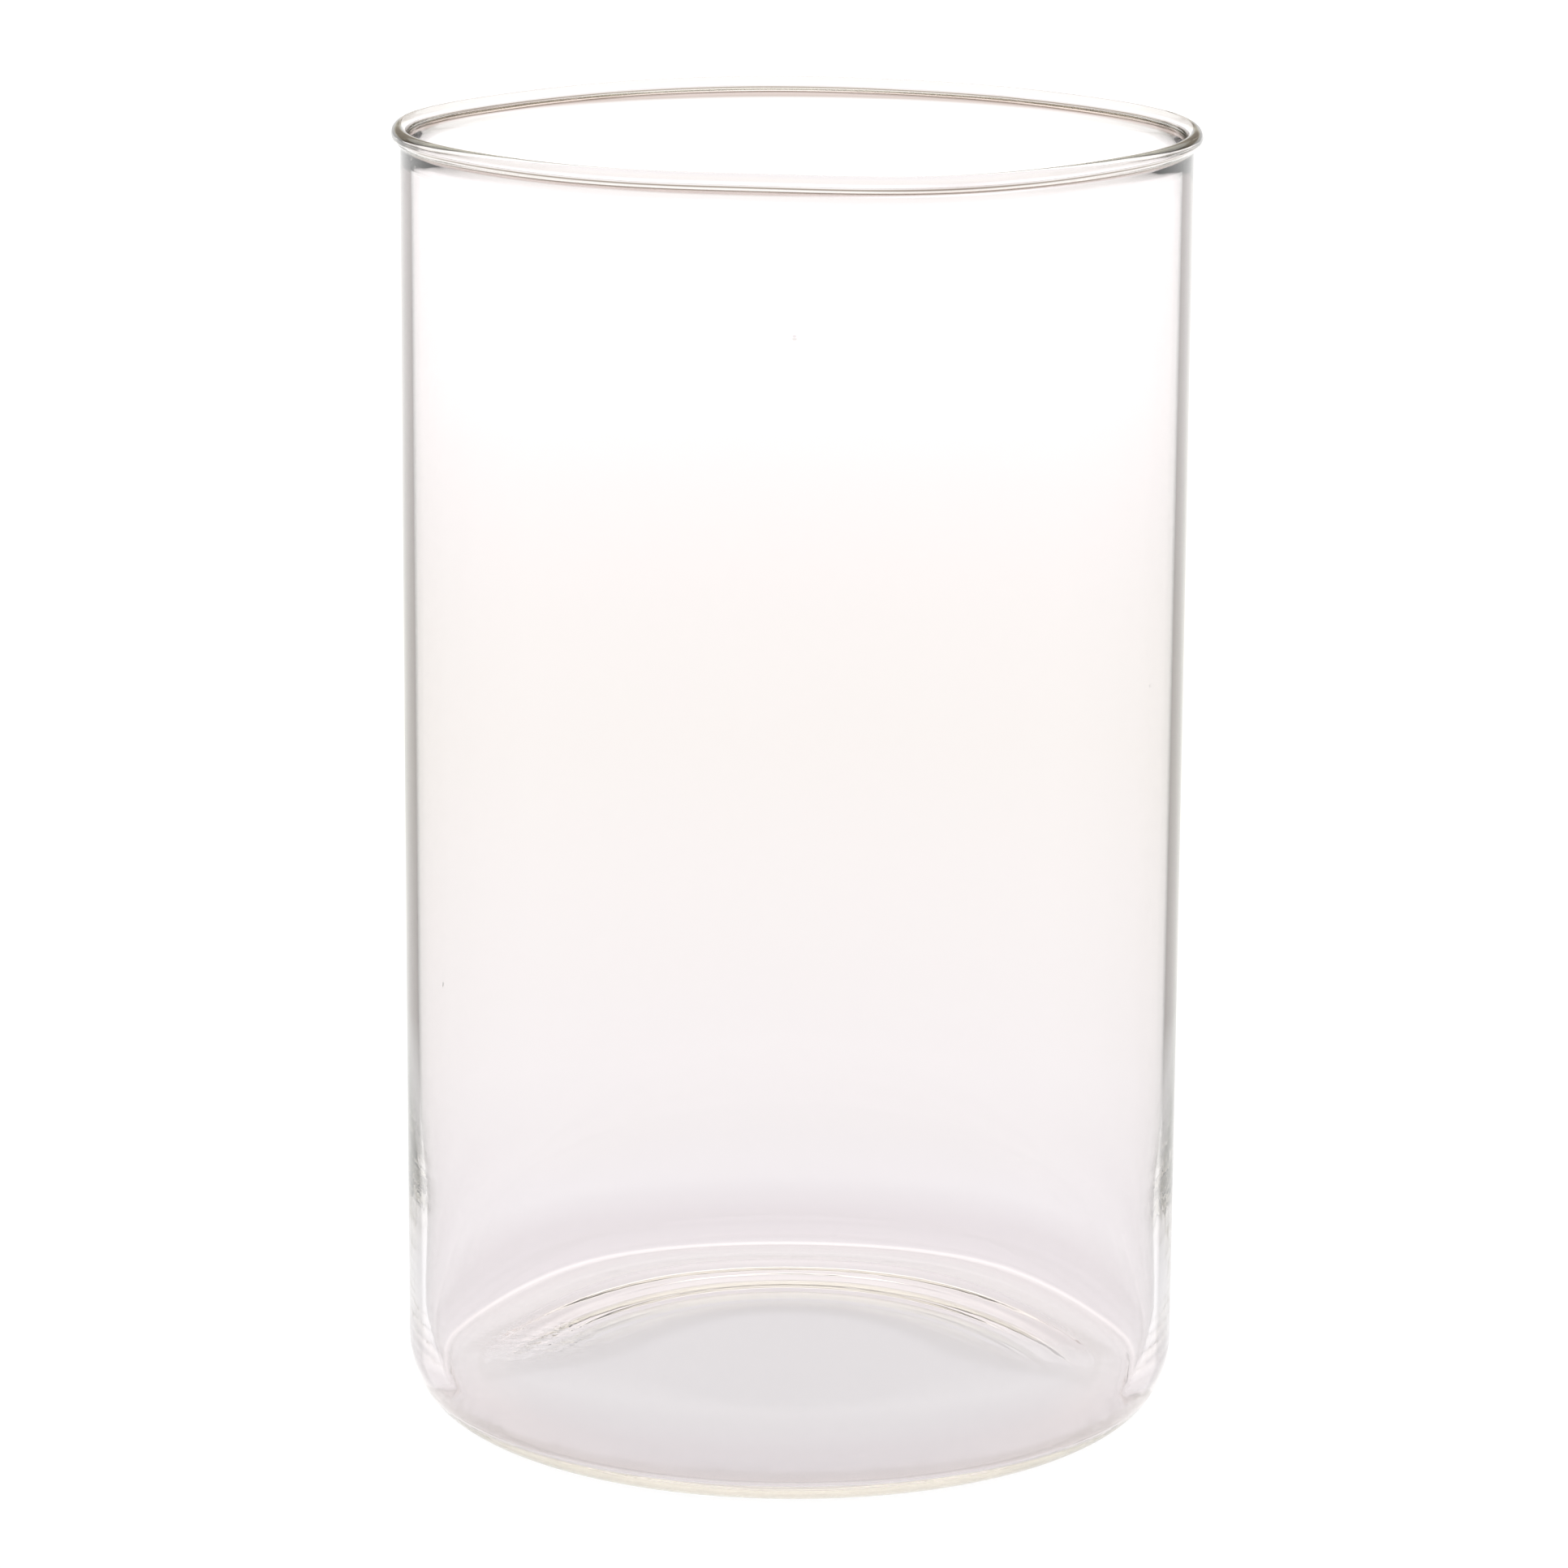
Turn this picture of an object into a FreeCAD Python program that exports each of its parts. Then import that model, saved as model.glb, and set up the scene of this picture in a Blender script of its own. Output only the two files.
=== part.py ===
import FreeCAD, Part
import math
import os

# A clear glass cylinder vase, blown as one piece and open at the top.
# Every zone is a closed outline turned once round the vertical axis, and the zones meet face to face:
#   rim_bead       the rolled, fire-polished lip with the small cove under it
#   cylinder_wall  the straight tube, a little thicker towards its foot
#   heel_ring      the rounded corner between the tube and the underside
#   foot_ring      the flat band that the vase stands on
#   base_floor     the floor inside the foot, thinner in the middle where it is pushed up from below
# Millimetres.  The origin is the centre of the face it stands on, and +Z points out of the mouth.

# Overall size
BODY_RADIUS = 75.0
HEIGHT = 250.0

# Rolled lip: a round bead that stands proud of the wall, over a small hollow curve
BEAD_RADIUS = 1.5
BEAD_OVERHANG = 1.65
COVE_RADIUS = 1.2
RIM_DEPTH = 6.0
FLARE_EASE = 1.8

# Wall
WALL_AT_MOUTH = 2.1
WALL_AT_FOOT = 3.0
TAPER_TOP = 70.0
TAPER_BOTTOM = 24.0

# Rounded heel: an upright ellipse outside; inside, a wall that leans in to a tight corner
HEEL_HEIGHT = 12.0
HEEL_INSET = 9.0
LEAN_TOP = 22.0
CORNER_TOP_RADIUS = 70.4
CORNER_TOP_HEIGHT = 6.0
CORNER_LOW_RADIUS = 68.8
CORNER_EASE = 0.9
# How far the wall goes in, and how far down, along its lean as it runs into the corner
LEAN_IN = 0.6
LEAN_DOWN = 2.4

# Foot and floor: nearly flat on top, pushed up underneath in a shallow dome that is flat in the middle
FLOOR_THICKNESS = 4.4
FOOT_WIDTH = 4.0
PUNT_DEPTH = 2.5
PUNT_FLAT_RADIUS = 26.0
PUNT_FLAT_EASE = 11.0
PUNT_SHOULDER_RADIUS = 50.0
PUNT_SHOULDER_HEIGHT = 1.8
FLOOR_CROWN = 0.3

# Sizes that follow from the ones above
MOUTH_RADIUS = BODY_RADIUS - WALL_AT_MOUTH
LOW_INNER_RADIUS = BODY_RADIUS - WALL_AT_FOOT
HEEL_RADIUS = BODY_RADIUS - HEEL_INSET
PUNT_RADIUS = HEEL_RADIUS - FOOT_WIDTH
BEAD_CENTRE_RADIUS = BODY_RADIUS + BEAD_OVERHANG - BEAD_RADIUS
BEAD_CENTRE_HEIGHT = HEIGHT - BEAD_RADIUS
RIM_BOTTOM = HEIGHT - RIM_DEPTH


def at(radius, height):
    """A point of the outline, in the upright plane through the axis."""
    return FreeCAD.Vector(radius, 0, height)


def line(start, end):
    return Part.LineSegment(start, end).toShape()


def curve(*poles):
    """A Bezier curve from the first pole to the last."""
    bezier = Part.BezierCurve()
    bezier.setPoles(list(poles))
    return bezier.toShape()


def upright_ease(start, end):
    """A smooth S from start to end that leaves and arrives upright."""
    lead = FreeCAD.Vector(0, 0, (end.z - start.z) / 2)
    return curve(start, start + lead, end - lead, end)


def quarter_ellipse(low_end, side_end):
    """A quarter of an upright ellipse, from its lowest point round to its outermost one."""
    centre = at(low_end.x, side_end.z)
    ellipse = Part.Ellipse(low_end, side_end, centre)
    return Part.Arc(ellipse, 0, math.pi / 2).toShape()


def turned(edges):
    """The solid that a closed outline makes when it is turned once round the axis."""
    outline = Part.Wire(Part.sortEdges(edges)[0])
    face = Part.Face(outline)
    solid = face.revolve(FreeCAD.Vector(0, 0, 0), FreeCAD.Vector(0, 0, 1), 360)
    return Part.makeSolid(solid.Shells[0])


def rim_bead():
    bead_centre = at(BEAD_CENTRE_RADIUS, BEAD_CENTRE_HEIGHT)
    # The cove touches the wall on one side and the underside of the bead on the other.
    cove_across = BODY_RADIUS + COVE_RADIUS - BEAD_CENTRE_RADIUS
    centre_gap = BEAD_RADIUS + COVE_RADIUS
    cove_drop = math.sqrt(centre_gap ** 2 - cove_across ** 2)
    cove_centre = bead_centre + FreeCAD.Vector(cove_across, 0, -cove_drop)
    cove_on_wall = at(BODY_RADIUS, cove_centre.z)
    cove_on_bead = bead_centre + (cove_centre - bead_centre) * (BEAD_RADIUS / centre_gap)
    # Half way along the cove, measured as an angle about its own centre
    bead_angle = math.atan2(cove_drop, -cove_across)
    half_angle = (math.pi + bead_angle) / 2
    cove_middle = cove_centre + FreeCAD.Vector(math.cos(half_angle), 0, math.sin(half_angle)) * COVE_RADIUS
    bead_inside = bead_centre - FreeCAD.Vector(BEAD_RADIUS, 0, 0)
    bead_outside = bead_centre + FreeCAD.Vector(BEAD_RADIUS, 0, 0)
    bead_top = bead_centre + FreeCAD.Vector(0, 0, BEAD_RADIUS)
    # The inside flares out from the wall to the bead in a gentle S.
    flare_foot = at(MOUTH_RADIUS, RIM_BOTTOM)
    flare_lead = FreeCAD.Vector(0, 0, FLARE_EASE)
    return turned([
        line(at(BODY_RADIUS, RIM_BOTTOM), cove_on_wall),
        Part.Arc(cove_on_wall, cove_middle, cove_on_bead).toShape(),
        Part.Arc(cove_on_bead, bead_outside, bead_top).toShape(),
        Part.Arc(bead_top, bead_centre + at(-1, 1).normalize() * BEAD_RADIUS, bead_inside).toShape(),
        curve(bead_inside, bead_inside - flare_lead, flare_foot + flare_lead, flare_foot),
        line(flare_foot, at(BODY_RADIUS, RIM_BOTTOM)),
    ])


def cylinder_wall():
    return turned([
        line(at(BODY_RADIUS, TAPER_BOTTOM), at(BODY_RADIUS, RIM_BOTTOM)),
        line(at(BODY_RADIUS, RIM_BOTTOM), at(MOUTH_RADIUS, RIM_BOTTOM)),
        line(at(MOUTH_RADIUS, RIM_BOTTOM), at(MOUTH_RADIUS, TAPER_TOP)),
        upright_ease(at(MOUTH_RADIUS, TAPER_TOP), at(LOW_INNER_RADIUS, TAPER_BOTTOM)),
        line(at(LOW_INNER_RADIUS, TAPER_BOTTOM), at(BODY_RADIUS, TAPER_BOTTOM)),
    ])


def heel_ring():
    lean_top = at(LOW_INNER_RADIUS, LEAN_TOP)
    corner_top = at(CORNER_TOP_RADIUS, CORNER_TOP_HEIGHT)
    corner_low = at(CORNER_LOW_RADIUS, FLOOR_THICKNESS)
    # The wall's lean runs on into the corner, so the two curves share one direction where they meet.
    lean = FreeCAD.Vector(-LEAN_IN, 0, -LEAN_DOWN)
    return turned([
        quarter_ellipse(at(HEEL_RADIUS, 0), at(BODY_RADIUS, HEEL_HEIGHT)),
        line(at(BODY_RADIUS, HEEL_HEIGHT), at(BODY_RADIUS, TAPER_BOTTOM)),
        line(at(BODY_RADIUS, TAPER_BOTTOM), at(LOW_INNER_RADIUS, TAPER_BOTTOM)),
        line(at(LOW_INNER_RADIUS, TAPER_BOTTOM), lean_top),
        curve(lean_top, lean_top - at(0, LEAN_TOP / 3), corner_top - lean, corner_top),
        curve(corner_top, corner_top + lean / 2, corner_low + at(CORNER_EASE, 0), corner_low),
        line(corner_low, at(HEEL_RADIUS, FLOOR_THICKNESS)),
        line(at(HEEL_RADIUS, FLOOR_THICKNESS), at(HEEL_RADIUS, 0)),
    ])


def foot_ring():
    return turned([
        line(at(PUNT_RADIUS, 0), at(HEEL_RADIUS, 0)),
        line(at(HEEL_RADIUS, 0), at(HEEL_RADIUS, FLOOR_THICKNESS)),
        line(at(HEEL_RADIUS, FLOOR_THICKNESS), at(PUNT_RADIUS, FLOOR_THICKNESS)),
        line(at(PUNT_RADIUS, FLOOR_THICKNESS), at(PUNT_RADIUS, 0)),
    ])


def base_floor():
    under_centre = at(0, PUNT_DEPTH)
    flat_edge = at(PUNT_FLAT_RADIUS, PUNT_DEPTH)
    shoulder = at(PUNT_SHOULDER_RADIUS, PUNT_SHOULDER_HEIGHT)
    top_centre = at(0, FLOOR_THICKNESS + FLOOR_CROWN)
    top_edge = at(PUNT_RADIUS, FLOOR_THICKNESS)
    half_way = at(PUNT_RADIUS / 2, 0)
    # The dome is level in the middle and steepest where it comes down to the foot.
    return turned([
        line(under_centre, flat_edge),
        curve(flat_edge, flat_edge + at(PUNT_FLAT_EASE, 0), shoulder, at(PUNT_RADIUS, 0)),
        line(at(PUNT_RADIUS, 0), top_edge),
        curve(top_edge, top_edge - half_way, top_centre + half_way, top_centre),
        line(top_centre, under_centre),
    ])


NODES = {
    "rim_bead": rim_bead,
    "cylinder_wall": cylinder_wall,
    "heel_ring": heel_ring,
    "foot_ring": foot_ring,
    "base_floor": base_floor,
}

os.makedirs("parts", exist_ok=True)
for name, make in NODES.items():
    shape = make()
    shape.exportStep("parts/" + name + ".step")
    print(name, "volume cm3", round(shape.Volume / 1000, 2), "valid", shape.isValid())
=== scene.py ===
import math

import bpy
from mathutils import Matrix, Vector


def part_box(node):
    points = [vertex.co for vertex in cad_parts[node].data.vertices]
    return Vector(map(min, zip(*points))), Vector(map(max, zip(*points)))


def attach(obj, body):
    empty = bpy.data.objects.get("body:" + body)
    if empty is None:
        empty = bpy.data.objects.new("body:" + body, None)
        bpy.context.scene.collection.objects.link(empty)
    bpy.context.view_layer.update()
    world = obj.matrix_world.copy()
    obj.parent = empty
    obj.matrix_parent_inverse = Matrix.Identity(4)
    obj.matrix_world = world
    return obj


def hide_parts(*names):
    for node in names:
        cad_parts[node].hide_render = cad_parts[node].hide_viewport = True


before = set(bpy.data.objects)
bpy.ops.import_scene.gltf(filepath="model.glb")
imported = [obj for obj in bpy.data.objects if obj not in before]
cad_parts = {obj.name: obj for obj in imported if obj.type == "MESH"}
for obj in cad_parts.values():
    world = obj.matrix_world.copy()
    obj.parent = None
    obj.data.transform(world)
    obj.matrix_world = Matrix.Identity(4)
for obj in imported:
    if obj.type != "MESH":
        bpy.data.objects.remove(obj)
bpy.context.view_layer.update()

# ---------------------------------------------------------------------------
# Sizes.  Metres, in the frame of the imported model; MM turns millimetres into them.
# ---------------------------------------------------------------------------
MM = 0.001

WALL_LOW, WALL_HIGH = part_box("cylinder_wall")
RIM_LOW, RIM_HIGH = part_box("rim_bead")
FLOOR_LOW, FLOOR_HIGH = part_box("base_floor")
FOOT_LOW, FOOT_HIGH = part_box("foot_ring")

BODY_RADIUS = WALL_HIGH.x
LIP_TOP = RIM_HIGH.z
LIP_RADIUS = RIM_HIGH.x
WALL_FOOT = WALL_LOW.z
NECK = RIM_LOW.z
HEEL_RADIUS = FOOT_HIGH.x
FLOOR_TOP = FOOT_HIGH.z
PUNT_RADIUS = FLOOR_HIGH.x
FLOOR_CROWN = FLOOR_HIGH.z - FLOOR_TOP

WALL_AT_MOUTH = 2.1 * MM
WALL_AT_FOOT = 3.0 * MM
TAPER_TOP = 70 * MM
HEEL_HEIGHT = 12 * MM
LEAN_TOP = 22 * MM
CORNER_TOP = (70.4 * MM, 6.0 * MM)
CORNER_LOW_RADIUS = 68.8 * MM
CORNER_EASE = 0.9 * MM
LEAN = (-0.6 * MM, -2.4 * MM)
PUNT_DEPTH = 2.5 * MM
PUNT_FLAT_RADIUS = 26 * MM
PUNT_FLAT_EASE = 11 * MM
PUNT_SHOULDER = (50 * MM, 1.8 * MM)
BEAD_RADIUS = 1.5 * MM
COVE_RADIUS = 1.2 * MM
FLARE_EASE = 1.8 * MM

AROUND = 256          # flats round the vase
POLE_RADIUS = 1.5 * MM

# Uneven places of the fire-polished lip: angle round it, and how far it is off
NUDGE_REACH = 42 * MM
LIP_NUDGES = [
    (145, (0, 0, -0.45 * MM)),
    (95, (0, 0, 0.30 * MM)),
    (40, (0, 0, -0.30 * MM)),
    (222, (0, 0, 0.30 * MM)),
    (262, (0, 0, 0.35 * MM)),
    (292, (0, 0, -0.45 * MM)),
]


# ---------------------------------------------------------------------------
# Camera
# ---------------------------------------------------------------------------
CAMERA_PLACE = Vector((0.0, -1.150, 0.392))
CAMERA_LENS = 140.1
CAMERA_SENSOR = 36.0
CAMERA_CLIP = (0.05, 60.0)
CAMERA_DOWN = math.radians(13.218)
CAMERA_TURN = math.radians(0.087)
CAMERA_ROLL = math.radians(0.334)


def set_camera():
    data = bpy.data.cameras.new("studio_camera")
    data.lens = CAMERA_LENS
    data.sensor_width = CAMERA_SENSOR
    data.clip_start, data.clip_end = CAMERA_CLIP
    camera = bpy.data.objects.new("studio_camera", data)
    bpy.context.scene.collection.objects.link(camera)
    camera.location = CAMERA_PLACE
    turned = (
        Matrix.Rotation(CAMERA_TURN, 3, "Z")
        @ Matrix.Rotation(math.pi / 2 - CAMERA_DOWN, 3, "X")
        @ Matrix.Rotation(CAMERA_ROLL, 3, "Z")
    )
    camera.rotation_euler = turned.to_euler()
    bpy.context.scene.camera = camera


# ---------------------------------------------------------------------------
# Outline of the glass, as (radius, height) stations
# ---------------------------------------------------------------------------
def curve(start, lead_out, lead_in, end, steps):
    """Stations of a Bezier curve, without its start."""
    stations = []
    for i in range(1, steps + 1):
        t = i / steps
        shares = ((1 - t) ** 3, 3 * t * (1 - t) ** 2, 3 * t ** 2 * (1 - t), t ** 3)
        poles = (start, lead_out, lead_in, end)
        radius = sum(share * pole[0] for share, pole in zip(shares, poles))
        height = sum(share * pole[1] for share, pole in zip(shares, poles))
        stations.append((radius, height))
    return stations


def straight(start, end, steps):
    return [
        (start[0] + (end[0] - start[0]) * i / steps, start[1] + (end[1] - start[1]) * i / steps)
        for i in range(1, steps + 1)
    ]


def arc(centre, across, up, first, last, steps):
    """Stations of an ellipse's arc about centre; angles in degrees, 0 pointing outwards and 90 up."""
    stations = []
    for i in range(1, steps + 1):
        angle = math.radians(first + (last - first) * i / steps)
        stations.append((centre[0] + across * math.cos(angle), centre[1] + up * math.sin(angle)))
    return stations


def underside_outline():
    """From near the middle of the underside, down the shallow dome and out along the foot."""
    flat_edge = (PUNT_FLAT_RADIUS, PUNT_DEPTH)
    outline = straight((0, PUNT_DEPTH), flat_edge, 6)
    outline += curve(
        flat_edge,
        (PUNT_FLAT_RADIUS + PUNT_FLAT_EASE, PUNT_DEPTH),
        PUNT_SHOULDER,
        (PUNT_RADIUS, 0),
        steps=30,
    )
    outline = [station for station in outline if station[0] > POLE_RADIUS]
    outline += straight((PUNT_RADIUS, 0), (HEEL_RADIUS, 0), 4)
    return outline


def outside_outline():
    """Round the heel and up the outside to the neck."""
    heel = (HEEL_RADIUS, HEEL_HEIGHT)
    outline = arc(heel, BODY_RADIUS - HEEL_RADIUS, HEEL_HEIGHT, -90, 0, 28)
    outline += straight((BODY_RADIUS, HEEL_HEIGHT), (BODY_RADIUS, NECK), 36)
    return outline


def lip_outline():
    """Cove, bead and flare, ending on the inside of the neck."""
    bead = (LIP_RADIUS - BEAD_RADIUS, LIP_TOP - BEAD_RADIUS)
    cove_across = BODY_RADIUS + COVE_RADIUS - bead[0]
    gap = BEAD_RADIUS + COVE_RADIUS
    cove_drop = math.sqrt(gap ** 2 - cove_across ** 2)
    cove = (bead[0] + cove_across, bead[1] - cove_drop)
    meet = math.degrees(math.atan2(cove_drop, -cove_across))
    inside = (bead[0] - BEAD_RADIUS, bead[1])
    mouth = (BODY_RADIUS - WALL_AT_MOUTH, NECK)
    outline = straight((BODY_RADIUS, NECK), (BODY_RADIUS, cove[1]), 3)
    outline += arc(cove, COVE_RADIUS, COVE_RADIUS, 180, meet, 10)
    outline += arc(bead, BEAD_RADIUS, BEAD_RADIUS, meet - 180, 180, 32)
    outline += curve(
        inside,
        (inside[0], inside[1] - FLARE_EASE),
        (mouth[0], mouth[1] + FLARE_EASE),
        mouth,
        steps=12,
    )
    return outline


def inside_outline():
    """Down the inside, round the inner corner and in to near the middle of the floor."""
    mouth = BODY_RADIUS - WALL_AT_MOUTH
    low = BODY_RADIUS - WALL_AT_FOOT
    taper_middle = (TAPER_TOP + WALL_FOOT) / 2
    corner_low = (CORNER_LOW_RADIUS, FLOOR_TOP)
    outline = straight((mouth, NECK), (mouth, TAPER_TOP), 28)
    outline += curve(
        (mouth, TAPER_TOP), (mouth, taper_middle), (low, taper_middle), (low, WALL_FOOT), steps=12
    )
    outline += curve(
        (low, WALL_FOOT),
        (low, LEAN_TOP * 2 / 3),
        (CORNER_TOP[0] - LEAN[0], CORNER_TOP[1] - LEAN[1]),
        CORNER_TOP,
        steps=14,
    )
    outline += curve(
        CORNER_TOP,
        (CORNER_TOP[0] + LEAN[0] / 2, CORNER_TOP[1] + LEAN[1] / 2),
        (CORNER_LOW_RADIUS + CORNER_EASE, FLOOR_TOP),
        corner_low,
        steps=12,
    )
    outline += straight(corner_low, (PUNT_RADIUS, FLOOR_TOP), 4)
    outline += curve(
        (PUNT_RADIUS, FLOOR_TOP),
        (PUNT_RADIUS / 2, FLOOR_TOP),
        (PUNT_RADIUS / 2, FLOOR_TOP + FLOOR_CROWN),
        (0, FLOOR_TOP + FLOOR_CROWN),
        steps=20,
    )
    return [station for station in outline if station[0] > POLE_RADIUS]


# ---------------------------------------------------------------------------
# Glass
# ---------------------------------------------------------------------------
def clear_selection():
    for chosen in list(bpy.context.selected_objects):
        chosen.select_set(False)


def nudge_lip(glass, angle, push):
    """Pull the lip's top a little at one place round it, and the glass near it with it."""
    place = Vector((math.cos(angle), math.sin(angle), 0)) * (LIP_RADIUS - BEAD_RADIUS)
    place.z = LIP_TOP
    nearest = min(glass.data.vertices, key=lambda vertex: (vertex.co - place).length).index
    bpy.ops.object.mode_set(mode="EDIT")
    bpy.ops.mesh.select_mode(type="VERT")
    bpy.ops.mesh.select_all(action="DESELECT")
    bpy.ops.object.mode_set(mode="OBJECT")
    glass.data.vertices[nearest].select = True
    bpy.ops.object.mode_set(mode="EDIT")
    bpy.ops.transform.translate(
        value=push,
        use_proportional_edit=True,
        proportional_edit_falloff="SMOOTH",
        proportional_size=NUDGE_REACH,
    )
    bpy.ops.object.mode_set(mode="OBJECT")


def draw_glass():
    """A small disc at the middle of the underside, drawn out ring by ring along the outline."""
    outline = underside_outline() + outside_outline() + lip_outline() + inside_outline()
    clear_selection()
    radius, height = outline[0]
    bpy.ops.mesh.primitive_circle_add(
        vertices=AROUND, radius=radius, fill_type="NGON", location=(0, 0, height)
    )
    glass = bpy.context.active_object
    glass.name = "clear_glass_vase"
    bpy.ops.object.transform_apply(location=True, rotation=True, scale=True)
    bpy.ops.object.mode_set(mode="EDIT")
    bpy.ops.mesh.select_all(action="SELECT")
    for next_radius, next_height in outline[1:]:
        bpy.ops.mesh.extrude_region_move(
            TRANSFORM_OT_translate={"value": (0, 0, next_height - height)}
        )
        scale = next_radius / radius
        bpy.ops.transform.resize(value=(scale, scale, 1))
        radius, height = next_radius, next_height
    bpy.ops.mesh.select_all(action="SELECT")
    bpy.ops.mesh.normals_make_consistent(inside=False)
    bpy.ops.object.mode_set(mode="OBJECT")
    for angle, push in LIP_NUDGES:
        nudge_lip(glass, math.radians(angle), push)
    bpy.ops.object.shade_smooth()
    return glass


# ---------------------------------------------------------------------------
# Glass material
# ---------------------------------------------------------------------------
GLASS_IOR = 1.474
ABSORPTION_COLOUR = (0.9957, 0.9957, 0.9925, 1.0)
ABSORPTION_DENSITY = 100.0

# Base colour of the clear glass, a faint pink grey that is partly the glass's own tint and partly
# painted shade for the grey seen through it; and the painted shade on the heel and the painted brown
# shade line inside the lip
GLASS_TINT_AND_PAINTED_SHADE = (0.928, 0.905, 0.915, 1.0)
HEEL_PAINTED_SHADE = (0.80, 0.765, 0.775, 1.0)
THROAT_PAINTED_SHADE = (0.40, 0.31, 0.27, 1.0)

# Painted shade of the wall's two faces, from seen square on (0) to seen edge on (1); it stands in for
# the dark surroundings seen through the glass where it is edge on
OUTSIDE_EDGE_PAINTED_SHADE = [
    (0.735, (1.0, 1.0, 1.0)),
    (0.765, (0.035, 0.024, 0.022)),
    (1.0, (0.035, 0.024, 0.022)),
]
INSIDE_EDGE_PAINTED_SHADE = [
    (0.30, (1.0, 1.0, 1.0)),
    (0.45, (0.965, 0.96, 0.96)),
    (0.60, (0.90, 0.89, 0.89)),
    (0.71, (0.80, 0.78, 0.78)),
    (0.78, (0.69, 0.665, 0.665)),
    (0.84, (0.42, 0.39, 0.39)),
    (0.90, (0.06, 0.045, 0.045)),
    (1.0, (0.03, 0.02, 0.02)),
]

# Spans of height or radius over which a painted shade or a wave comes in, as (none, all)
BELOW_LIP = (LIP_TOP - 3.8 * MM, LIP_TOP - 4.6 * MM)
OUTER_FACE = (BODY_RADIUS - 1.0 * MM, BODY_RADIUS - 0.3 * MM)
OUTER_EDGE_RISE = (20 * MM, 80 * MM)
OUTER_EDGE_LEAST = 0.4
OUTER_EDGE_FOOT = (4 * MM, 10 * MM)
INNER_FACE = (BODY_RADIUS - 1.2 * MM, BODY_RADIUS - 1.8 * MM)
INNER_CORNER = (BODY_RADIUS - 5.0 * MM, BODY_RADIUS - 3.8 * MM)
INNER_EDGE_FOOT = (6 * MM, 12 * MM)
HEEL_OUTER_FACE = (BODY_RADIUS - 2.8 * MM, BODY_RADIUS - 2.2 * MM)
HEEL_UNDER_FACE = (4.3 * MM, 4.0 * MM)
HEEL_FROM_RADIUS = (67 * MM, 70 * MM)
HEEL_TO_HEIGHT = (20 * MM, 12 * MM)
THROAT_FOOT = (LIP_TOP - 4.0 * MM, LIP_TOP - 3.5 * MM)
THROAT_HEAD = (LIP_TOP - 2.1 * MM, LIP_TOP - 2.6 * MM)
THROAT_FACE = (BODY_RADIUS - 0.4 * MM, BODY_RADIUS - 0.8 * MM)
LIP_WAVES_FROM = (LIP_TOP - 7 * MM, LIP_TOP - 3 * MM)
HEEL_WAVES_FROM = (58 * MM, 66 * MM)
HEEL_WAVES_TO = (18 * MM, 8 * MM)

# Waves in the surface: how many to the metre, how fine, and their height in millimetres
WALL_WAVES = (22.0, 0.0, 0.03)
LIP_WAVES = (55.0, 1.0, 0.30)
HEEL_WAVES = (80.0, 2.0, 0.12)
SMUDGE_WAVES = (300.0, 3.0, 0.12)
SMUDGE_PLACE = (-54 * MM, 16 * MM, 4.4 * MM)
SMUDGE_SPAN = (17 * MM, 5.1 * MM)

# Seeds: cells to the metre, share of cells with one, size in cells, height in millimetres
SEED_CELLS = 70.0
SEED_SHARE = 0.05
SEED_SIZE = 0.035
SEED_HEIGHT = 0.25

# A Mix node's colour sockets have the same names as its number sockets, so they go by place
MIX_SHARE, MIX_COLOUR, MIX_SHADE, MIX_RESULT = 0, 6, 7, 2


def feed(tree, socket, value):
    """Link a node's output to the socket, or set a plain number or colour on it."""
    if isinstance(value, bpy.types.NodeSocket):
        tree.links.new(value, socket)
    else:
        socket.default_value = value


def math_node(tree, operation, *values):
    node = tree.nodes.new("ShaderNodeMath")
    node.operation = operation
    for socket, value in zip(node.inputs, values):
        feed(tree, socket, value)
    return node.outputs[0]


def product(tree, first, *others):
    """All the values multiplied together."""
    result = first
    for value in others:
        result = math_node(tree, "MULTIPLY", result, value)
    return result


def fade(tree, value, span, least=0.0):
    """least up to the span's start and 1 from its end on; the start may be the larger one."""
    node = tree.nodes.new("ShaderNodeMapRange")
    node.inputs["From Min"].default_value = span[0]
    node.inputs["From Max"].default_value = span[1]
    node.inputs["To Min"].default_value = least
    tree.links.new(value, node.inputs["Value"])
    return node.outputs["Result"]


def colour_ramp(tree, value, stops):
    """A colour ramp on value; stops are (position, (red, green, blue))."""
    node = tree.nodes.new("ShaderNodeValToRGB")
    elements = node.color_ramp.elements
    while len(elements) < len(stops):
        elements.new(0.5)
    for element, (position, colour) in zip(elements, stops):
        element.position = position
        element.color = (*colour, 1)
    tree.links.new(value, node.inputs["Fac"])
    return node.outputs["Color"]


def shaded(tree, mask, colour, shade):
    """Colour multiplied by shade where mask is 1."""
    node = tree.nodes.new("ShaderNodeMix")
    node.data_type = "RGBA"
    node.blend_type = "MULTIPLY"
    feed(tree, node.inputs[MIX_SHARE], mask)
    feed(tree, node.inputs[MIX_COLOUR], colour)
    feed(tree, node.inputs[MIX_SHADE], shade)
    return node.outputs[MIX_RESULT]


def object_places(tree):
    """Object coordinates, distance from the axis, and height."""
    place = tree.nodes.new("ShaderNodeTexCoord").outputs["Object"]
    split = tree.nodes.new("ShaderNodeSeparateXYZ")
    tree.links.new(place, split.inputs["Vector"])
    across = math_node(tree, "MULTIPLY", split.outputs["X"], split.outputs["X"])
    along = math_node(tree, "MULTIPLY", split.outputs["Y"], split.outputs["Y"])
    radius = math_node(tree, "SQRT", math_node(tree, "ADD", across, along))
    return place, radius, split.outputs["Z"]


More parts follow.
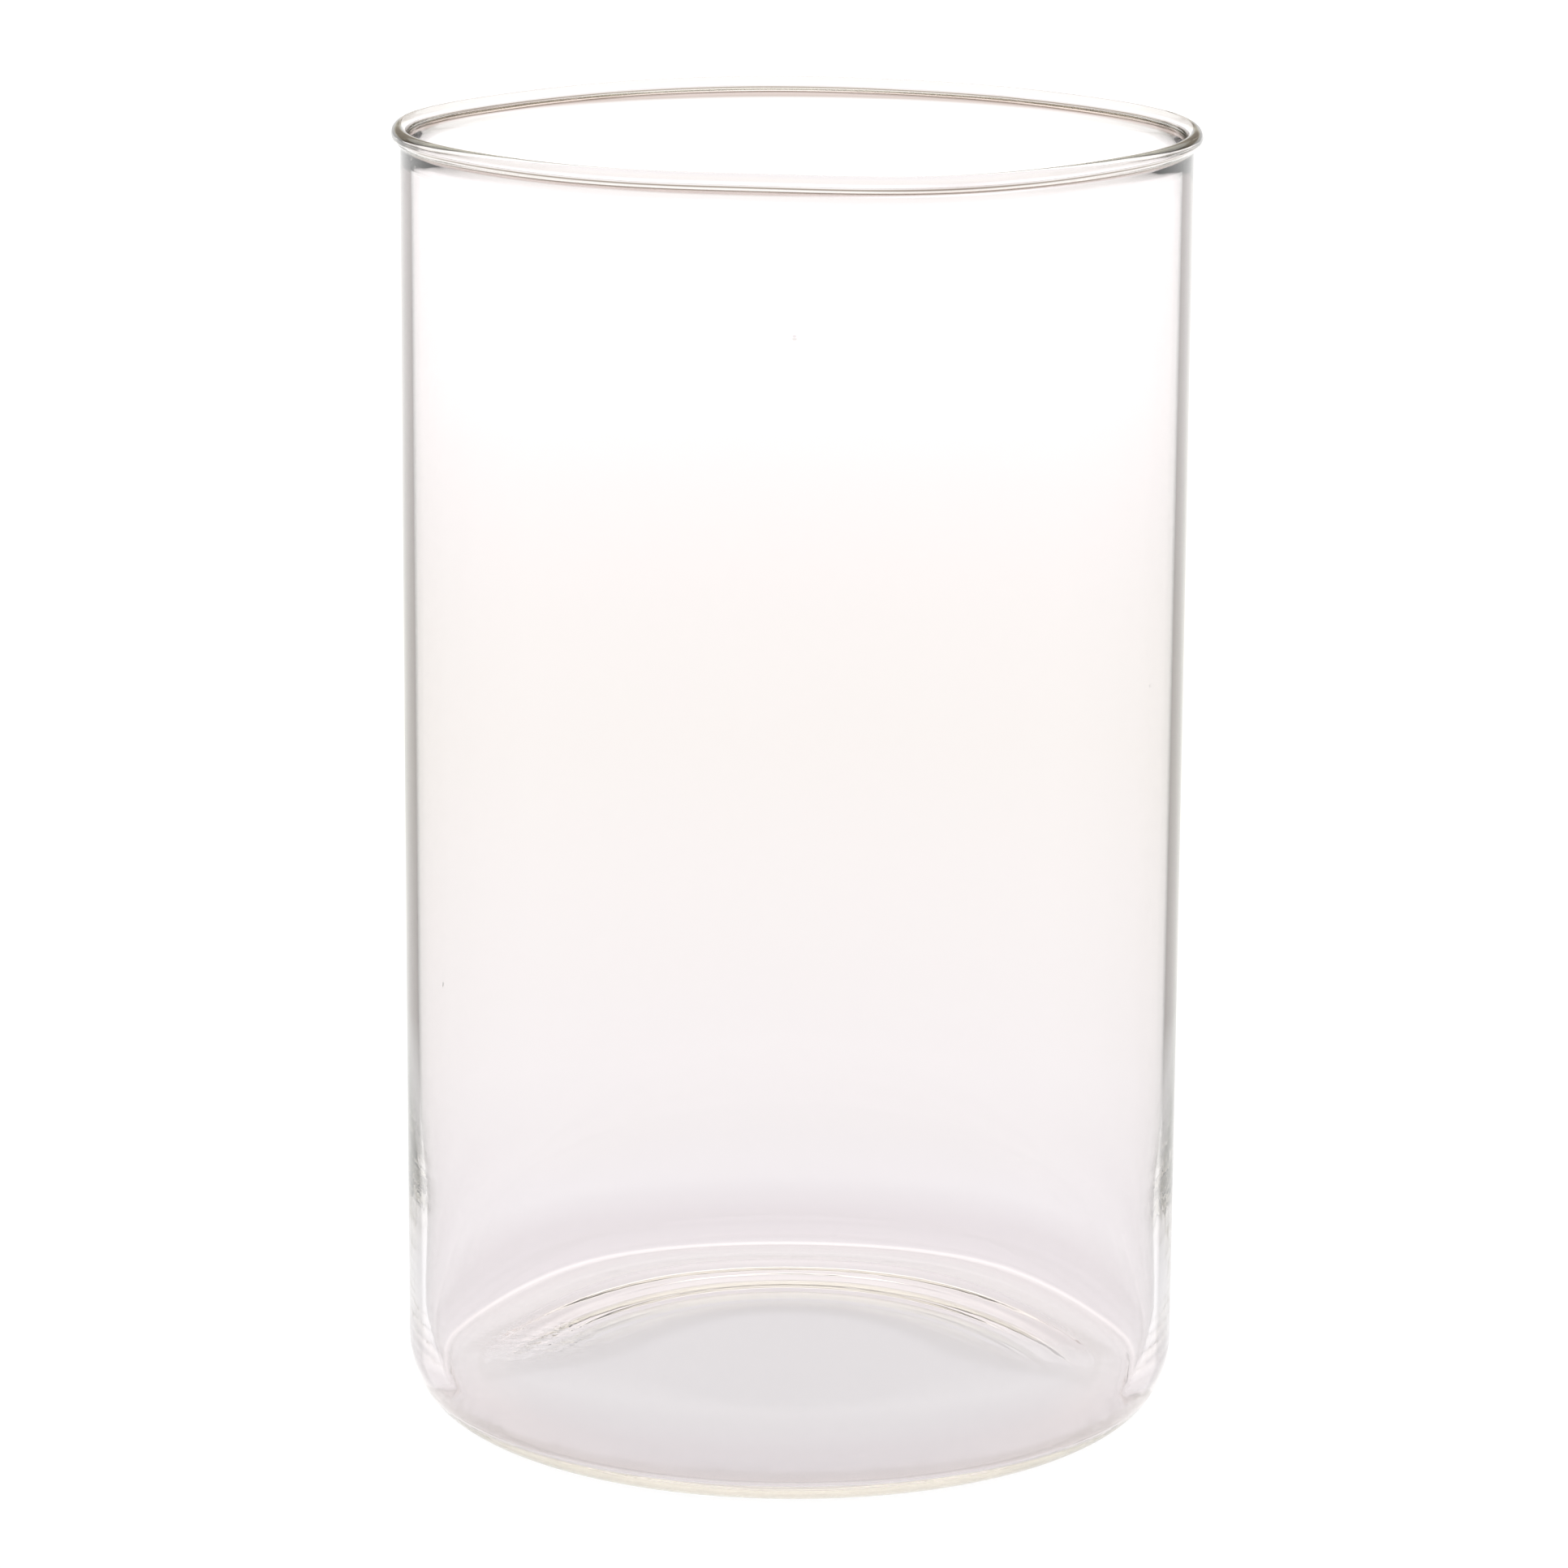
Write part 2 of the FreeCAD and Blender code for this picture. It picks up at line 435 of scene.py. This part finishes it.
def spot(tree, place, centre, span):
    """1 near centre, and 0 from the span's start outwards."""
    node = tree.nodes.new("ShaderNodeVectorMath")
    node.operation = "DISTANCE"
    node.inputs[1].default_value = centre
    tree.links.new(place, node.inputs[0])
    return fade(tree, node.outputs["Value"], span)


def waves(tree, place, size, *masks):
    """Noise of the given size, where all the masks are 1; in millimetres."""
    scale, detail, wave_height = size
    node = tree.nodes.new("ShaderNodeTexNoise")
    node.inputs["Scale"].default_value = scale
    node.inputs["Detail"].default_value = detail
    tree.links.new(place, node.inputs["Vector"])
    return product(tree, node.outputs["Fac"], *masks, wave_height)


def seeds(tree, place):
    """Tiny bubbles, one in some of the cells of a loose scatter; in millimetres."""
    node = tree.nodes.new("ShaderNodeTexVoronoi")
    node.inputs["Scale"].default_value = SEED_CELLS
    tree.links.new(place, node.inputs["Vector"])
    split = tree.nodes.new("ShaderNodeSeparateColor")
    tree.links.new(node.outputs["Color"], split.inputs["Color"])
    chosen = math_node(tree, "GREATER_THAN", split.outputs["Red"], 1 - SEED_SHARE)
    bubble = fade(tree, node.outputs["Distance"], (SEED_SIZE, 0.0))
    return product(tree, chosen, bubble, SEED_HEIGHT)


def uneven_surface(tree, place, radius, height):
    """How far the finished glass is off at each place, in millimetres."""
    lip = waves(tree, place, LIP_WAVES, fade(tree, height, LIP_WAVES_FROM))
    heel = waves(
        tree,
        place,
        HEEL_WAVES,
        fade(tree, height, HEEL_WAVES_TO),
        fade(tree, radius, HEEL_WAVES_FROM),
    )
    smudge = waves(tree, place, SMUDGE_WAVES, spot(tree, place, SMUDGE_PLACE, SMUDGE_SPAN))
    result = waves(tree, place, WALL_WAVES)
    for part in (lip, heel, smudge, seeds(tree, place)):
        result = math_node(tree, "ADD", result, part)
    return result


def wall_edge_painted_shade(tree, colour, radius, height):
    """Colour, with a painted warm grey shade where the wall's outer and inner faces are seen edge on,
    in place of the dark surroundings seen through the glass there.
    """
    facing = tree.nodes.new("ShaderNodeLayerWeight")
    facing.inputs["Blend"].default_value = 0.5
    facing = facing.outputs["Facing"]
    below_lip = fade(tree, height, BELOW_LIP)
    outside = product(
        tree,
        fade(tree, radius, OUTER_FACE),
        fade(tree, height, OUTER_EDGE_RISE, OUTER_EDGE_LEAST),
        fade(tree, height, OUTER_EDGE_FOOT),
        below_lip,
    )
    inside = product(
        tree,
        fade(tree, radius, INNER_FACE),
        fade(tree, radius, INNER_CORNER),
        fade(tree, height, INNER_EDGE_FOOT),
        below_lip,
    )
    colour = shaded(tree, outside, colour, colour_ramp(tree, facing, OUTSIDE_EDGE_PAINTED_SHADE))
    return shaded(tree, inside, colour, colour_ramp(tree, facing, INSIDE_EDGE_PAINTED_SHADE))


def painted_heel_shade(tree, colour, radius, height):
    """Colour, with painted shade on the outside of the heel and round under it."""
    outer = fade(tree, radius, HEEL_OUTER_FACE)
    under = fade(tree, height, HEEL_UNDER_FACE)
    heel = product(
        tree,
        math_node(tree, "MAXIMUM", outer, under),
        fade(tree, radius, HEEL_FROM_RADIUS),
        fade(tree, height, HEEL_TO_HEIGHT),
    )
    return shaded(tree, heel, colour, HEEL_PAINTED_SHADE)


def painted_throat_shade(tree, colour, radius, height):
    """Colour, with a thin painted brown shade line round the inside of the lip."""
    throat = product(
        tree,
        fade(tree, height, THROAT_FOOT),
        fade(tree, height, THROAT_HEAD),
        fade(tree, radius, THROAT_FACE),
    )
    return shaded(tree, throat, colour, THROAT_PAINTED_SHADE)


def clear_glass():
    material = bpy.data.materials.new("clear_glass")
    material.use_nodes = True
    tree = material.node_tree
    shader = tree.nodes["Principled BSDF"]
    output = tree.nodes["Material Output"]
    shader.inputs["Roughness"].default_value = 0.0
    shader.inputs["IOR"].default_value = GLASS_IOR
    shader.inputs["Transmission Weight"].default_value = 1.0
    place, radius, height = object_places(tree)
    # The base colour carries painted shade: on the faint tint, at edge-on faces, on the heel and in a
    # line inside the lip
    colour = wall_edge_painted_shade(tree, GLASS_TINT_AND_PAINTED_SHADE, radius, height)
    colour = painted_heel_shade(tree, colour, radius, height)
    colour = painted_throat_shade(tree, colour, radius, height)
    tree.links.new(colour, shader.inputs["Base Color"])
    bump = tree.nodes.new("ShaderNodeBump")
    bump.inputs["Distance"].default_value = MM
    tree.links.new(uneven_surface(tree, place, radius, height), bump.inputs["Height"])
    tree.links.new(bump.outputs["Normal"], shader.inputs["Normal"])
    absorption = tree.nodes.new("ShaderNodeVolumeAbsorption")
    absorption.inputs["Color"].default_value = ABSORPTION_COLOUR
    absorption.inputs["Density"].default_value = ABSORPTION_DENSITY
    tree.links.new(absorption.outputs["Volume"], output.inputs["Volume"])
    return material


# ---------------------------------------------------------------------------
# Studio
# ---------------------------------------------------------------------------
FLOOR_DROP = 0.15 * MM
FLOOR_RADIUS = 14.0
FLOOR_SIDES = 96
FLOOR_GREY = 0.15
FLOOR_ROUGHNESS = 0.9
# Distance from the middle of the floor in metres, and the light the floor gives of itself there. This
# uneven glow is painted light: a bright ring just outside the foot, and tones set ring by ring under
# and round the glass
FLOOR_REACH = 2.0
FLOOR_GLOW = [
    (0.000, (0.785, 0.81, 0.82)),
    (0.040, (0.80, 0.825, 0.835)),
    (0.054, (0.81, 0.83, 0.84)),
    (0.058, (0.92, 0.92, 0.91)),
    (0.0654, (0.92, 0.92, 0.91)),
    (0.0662, (0.93, 0.93, 0.93)),
    (0.0745, (0.93, 0.93, 0.93)),
    (0.0755, (1.24, 1.24, 1.22)),
    (0.081, (1.24, 1.24, 1.22)),
    (0.084, (0.89, 0.89, 0.905)),
    (0.126, (0.86, 0.86, 0.875)),
    (0.173, (0.855, 0.855, 0.855)),
    (0.223, (0.88, 0.88, 0.875)),
    (0.306, (0.88, 0.88, 0.865)),
    (0.43, (0.895, 0.895, 0.87)),
    (0.58, (0.90, 0.90, 0.86)),
    (0.76, (0.92, 0.92, 0.885)),
    (0.98, (0.96, 0.96, 0.94)),
    (1.20, (1.03, 1.03, 1.02)),
    (2.00, (1.15, 1.15, 1.15)),
]
# Light can run a long way inside the wall before it comes out
LIGHT_BOUNCES = 96
# Sine of the height above the horizon, and the light there
SKY_STRENGTH = 2.0
SKY = [
    (0.00, (0.510, 0.505, 0.502)),
    (0.08, (0.510, 0.505, 0.500)),
    (0.11, (0.430, 0.405, 0.345)),
    (0.14, (0.210, 0.180, 0.150)),
    (0.25, (0.210, 0.180, 0.150)),
    (0.29, (0.440, 0.430, 0.415)),
    (0.43, (0.600, 0.585, 0.550)),
    (0.56, (0.640, 0.625, 0.580)),
    (0.68, (0.900, 0.885, 0.840)),
    (1.00, (0.900, 0.890, 0.860)),
]


def studio_floor():
    clear_selection()
    bpy.ops.mesh.primitive_circle_add(
        vertices=FLOOR_SIDES, radius=FLOOR_RADIUS, fill_type="NGON", location=(0, 0, -FLOOR_DROP)
    )
    floor = bpy.context.active_object
    floor.name = "studio_floor"
    material = bpy.data.materials.new("pale_floor")
    material.use_nodes = True
    tree = material.node_tree
    shader = tree.nodes["Principled BSDF"]
    shader.inputs["Base Color"].default_value = (FLOOR_GREY, FLOOR_GREY, FLOOR_GREY, 1)
    shader.inputs["Roughness"].default_value = FLOOR_ROUGHNESS
    shader.inputs["Specular IOR Level"].default_value = 0.0
    shader.inputs["Emission Strength"].default_value = 1.0
    place, radius, height = object_places(tree)
    share = math_node(tree, "DIVIDE", radius, FLOOR_REACH)
    stops = [(distance / FLOOR_REACH, glow) for distance, glow in FLOOR_GLOW]
    # Painted light: the floor glows unevenly, brightest in a ring just outside the foot
    tree.links.new(colour_ramp(tree, share, stops), shader.inputs["Emission Color"])
    floor.data.materials.append(material)


def studio_light():
    world = bpy.data.worlds.new("studio")
    bpy.context.scene.world = world
    world.use_nodes = True
    tree = world.node_tree
    background = tree.nodes["Background"]
    place = tree.nodes.new("ShaderNodeTexCoord")
    split = tree.nodes.new("ShaderNodeSeparateXYZ")
    tree.links.new(place.outputs["Generated"], split.inputs["Vector"])
    tree.links.new(colour_ramp(tree, split.outputs["Z"], SKY), background.inputs["Color"])
    background.inputs["Strength"].default_value = SKY_STRENGTH


set_camera()
studio_light()
studio_floor()
glass = draw_glass()
glass.data.materials.clear()
glass.data.materials.append(clear_glass())
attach(glass, "root")
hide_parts("rim_bead", "cylinder_wall", "heel_ring", "foot_ring", "base_floor")

bpy.context.scene.view_settings.view_transform = "Standard"
bpy.context.scene.cycles.max_bounces = LIGHT_BOUNCES
bpy.context.scene.cycles.transmission_bounces = LIGHT_BOUNCES
bpy.context.scene.cycles.glossy_bounces = LIGHT_BOUNCES
